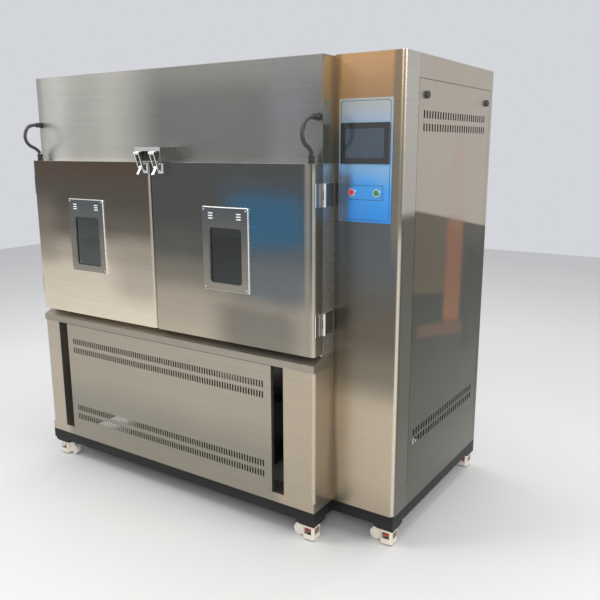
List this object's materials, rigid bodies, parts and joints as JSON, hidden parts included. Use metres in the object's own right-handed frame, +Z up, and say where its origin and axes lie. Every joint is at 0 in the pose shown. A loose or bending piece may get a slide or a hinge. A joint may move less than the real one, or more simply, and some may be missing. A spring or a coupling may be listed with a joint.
{
  "type": "environmental test chamber",
  "caption": "Stainless cabinet test chamber with windowed double doors, louvred machine bay, control column with touch screen and levelling castors.",
  "frame": {"origin": "on the floor, in the middle of the outline of the whole object", "axes": "+X to the right as seen from the front, +Y to the back, +Z up; the doors face -Y"},
  "size_m": [1.9305, 1.149, 1.902],
  "materials": {
    "black_frame": "satin black paint",
    "brushed_stainless": "brushed stainless sheet",
    "galvanised": "plain sheet, unseen inside",
    "insulation": "foam and mineral wool",
    "polished_stainless": "smooth stainless liner",
    "control_blue": "printed aluminium plate, silver to blue",
    "screen": "dark glossy touch screen",
    "electrics": "grey device housings",
    "gland_black": "black nylon",
    "cable_black": "black ribbed conduit",
    "hinge_steel": "satin cast hinge",
    "chrome": "bright chrome",
    "glass": "tinted heated pane",
    "gasket": "black silicone seal",
    "green": "green button cap",
    "red": "red button cap",
    "machinery": "black painted compressor and coil",
    "fan": "pressed aluminium blades",
    "castor_ivory": "ivory painted casting",
    "castor_nylon": "white nylon tread",
    "foot": "dark pad with a red thumbwheel"
  },
  "bodies": {
    "cabinet": {"base_frame": "black_frame", "left_side_panel": "brushed_stainless", "rear_panel": "brushed_stainless", "roof_panel": "brushed_stainless", "header_panel": "brushed_stainless", "face_frame": "brushed_stainless", "insulation": "insulation", "inner_liner": "polished_stainless", "lower_frame": "brushed_stainless", "lower_front_panel": "brushed_stainless", "column_front": "brushed_stainless", "column_side_frame": "brushed_stainless", "side_service_panel": "brushed_stainless", "control_plate": "control_blue", "touch_screen": "screen", "electrical_backplate": "electrics", "latch_bracket": "brushed_stainless", "cable_glands": "gland_black", "left_cable": "cable_black", "right_cable": "cable_black", "fixed_hinge_leaves": "hinge_steel", "shelves": "polished_stainless", "duct_panel": "polished_stainless", "fan_motor": "machinery", "condensing_unit": "machinery"},
    "left_door": {"left_door_panel": "brushed_stainless", "left_door_liner": "polished_stainless", "left_door_gasket": "gasket", "left_door_hardware": "hinge_steel", "left_window_frame": "brushed_stainless", "left_window_glass": "glass"},
    "left_latch_lever": {"left_latch_lever": "chrome"},
    "right_door": {"right_door_panel": "brushed_stainless", "right_door_liner": "polished_stainless", "right_door_gasket": "gasket", "right_door_hardware": "hinge_steel", "right_window_frame": "brushed_stainless", "right_window_glass": "glass"},
    "right_latch_lever": {"right_latch_lever": "chrome"},
    "red_button": {"red_button": "red"},
    "green_button": {"green_button": "green"},
    "front_panel_lock": {"front_panel_lock": "gland_black"},
    "rear_panel_lock": {"rear_panel_lock": "gland_black"},
    "circulation_fan": {"circulation_fan": "fan"},
    "condenser_fan": {"condenser_fan": "fan"},
    "castor_yoke_1": {"castor_yoke_1": "castor_ivory"},
    "castor_wheel_1": {"castor_wheel_1": "castor_nylon"},
    "levelling_foot_1": {"levelling_foot_1": "foot"},
    "castor_yoke_2": {"castor_yoke_2": "castor_ivory"},
    "castor_wheel_2": {"castor_wheel_2": "castor_nylon"},
    "levelling_foot_2": {"levelling_foot_2": "foot"},
    "castor_yoke_3": {"castor_yoke_3": "castor_ivory"},
    "castor_wheel_3": {"castor_wheel_3": "castor_nylon"},
    "levelling_foot_3": {"levelling_foot_3": "foot"},
    "castor_yoke_4": {"castor_yoke_4": "castor_ivory"},
    "castor_wheel_4": {"castor_wheel_4": "castor_nylon"},
    "levelling_foot_4": {"levelling_foot_4": "foot"},
    "castor_yoke_5": {"castor_yoke_5": "castor_ivory"},
    "castor_wheel_5": {"castor_wheel_5": "castor_nylon"},
    "levelling_foot_5": {"levelling_foot_5": "foot"}
  },
  "joints": [
    {"name": "left_door_hinge", "type": "hinge", "parent": "cabinet", "child": "left_door", "pos_m": [-0.95675, -0.4635, 1.1495], "axis": [0, 0, -1], "range_deg": [0, 110]},
    {"name": "left_latch_pivot", "type": "hinge", "parent": "left_door", "child": "left_latch_lever", "pos_m": [-0.17476, -0.5475, 1.492], "axis": [-1, 0, 0], "range_deg": [-20, 90]},
    {"name": "right_door_hinge", "type": "hinge", "parent": "cabinet", "child": "right_door", "pos_m": [0.68325, -0.4635, 1.1495], "axis": [0, 0, 1], "range_deg": [0, 110]},
    {"name": "right_latch_pivot", "type": "hinge", "parent": "right_door", "child": "right_latch_lever", "pos_m": [-0.08676, -0.5475, 1.492], "axis": [-1, 0, 0], "range_deg": [-20, 90]},
    {"name": "red_button_press", "type": "slide", "parent": "cabinet", "child": "red_button", "axis": [0, 1, 0], "range_m": [0, 0.003], "stiffness_N_per_m": 800, "springref_m": -0.001},
    {"name": "green_button_press", "type": "slide", "parent": "cabinet", "child": "green_button", "axis": [0, 1, 0], "range_m": [0, 0.003], "stiffness_N_per_m": 800, "springref_m": -0.001},
    {"name": "front_panel_lock_turn", "type": "hinge", "parent": "cabinet", "child": "front_panel_lock", "pos_m": [0.95325, -0.1935, 1.76], "axis": [-1, 0, 0], "range_deg": [0, 90]},
    {"name": "rear_panel_lock_turn", "type": "hinge", "parent": "cabinet", "child": "rear_panel_lock", "pos_m": [0.95325, 0.4555, 1.76], "axis": [1, 0, 0], "range_deg": [0, 90]},
    {"name": "circulation_fan_spin", "type": "hinge", "parent": "cabinet", "child": "circulation_fan", "pos_m": [-0.13675, 0.1485, 1.152], "axis": [0, -1, 0], "continuous": true},
    {"name": "condenser_fan_spin", "type": "hinge", "parent": "cabinet", "child": "condenser_fan", "pos_m": [-0.29675, -0.2735, 0.35], "axis": [0, -1, 0], "continuous": true},
    {"name": "castor_swivel_1", "type": "hinge", "parent": "cabinet", "child": "castor_yoke_1", "pos_m": [-0.88475, -0.4825, 0.073], "axis": [0, 0, 1], "continuous": true},
    {"name": "castor_roll_1", "type": "hinge", "parent": "castor_yoke_1", "child": "castor_wheel_1", "pos_m": [-0.83275, -0.4825, 0.028], "axis": [0, 1, 0], "continuous": true},
    {"name": "foot_screw_1", "type": "slide", "parent": "castor_yoke_1", "child": "levelling_foot_1", "axis": [0, 0, 1], "range_m": [0, 0.006]},
    {"name": "castor_swivel_2", "type": "hinge", "parent": "cabinet", "child": "castor_yoke_2", "pos_m": [0.63625, -0.4825, 0.073], "axis": [0, 0, 1], "continuous": true},
    {"name": "castor_roll_2", "type": "hinge", "parent": "castor_yoke_2", "child": "castor_wheel_2", "pos_m": [0.58425, -0.4825, 0.028], "axis": [0, 1, 0], "continuous": true},
    {"name": "foot_screw_2", "type": "slide", "parent": "castor_yoke_2", "child": "levelling_foot_2", "axis": [0, 0, 1], "range_m": [0, 0.006]},
    {"name": "castor_swivel_3", "type": "hinge", "parent": "cabinet", "child": "castor_yoke_3", "pos_m": [0.91625, -0.3385, 0.073], "axis": [0, 0, 1], "continuous": true},
    {"name": "castor_roll_3", "type": "hinge", "parent": "castor_yoke_3", "child": "castor_wheel_3", "pos_m": [0.86425, -0.3385, 0.028], "axis": [0, 1, 0], "continuous": true},
    {"name": "foot_screw_3", "type": "slide", "parent": "castor_yoke_3", "child": "levelling_foot_3", "axis": [0, 0, 1], "range_m": [0, 0.006]},
    {"name": "castor_swivel_4", "type": "hinge", "parent": "cabinet", "child": "castor_yoke_4", "pos_m": [0.91625, 0.5065, 0.073], "axis": [0, 0, 1], "continuous": true},
    {"name": "castor_roll_4", "type": "hinge", "parent": "castor_yoke_4", "child": "castor_wheel_4", "pos_m": [0.86425, 0.5065, 0.028], "axis": [0, 1, 0], "continuous": true},
    {"name": "foot_screw_4", "type": "slide", "parent": "castor_yoke_4", "child": "levelling_foot_4", "axis": [0, 0, 1], "range_m": [0, 0.006]},
    {"name": "castor_swivel_5", "type": "hinge", "parent": "cabinet", "child": "castor_yoke_5", "pos_m": [-0.88475, 0.5065, 0.073], "axis": [0, 0, 1], "continuous": true},
    {"name": "castor_roll_5", "type": "hinge", "parent": "castor_yoke_5", "child": "castor_wheel_5", "pos_m": [-0.83275, 0.5065, 0.028], "axis": [0, 1, 0], "continuous": true},
    {"name": "foot_screw_5", "type": "slide", "parent": "castor_yoke_5", "child": "levelling_foot_5", "axis": [0, 0, 1], "range_m": [0, 0.006]}
  ]
}
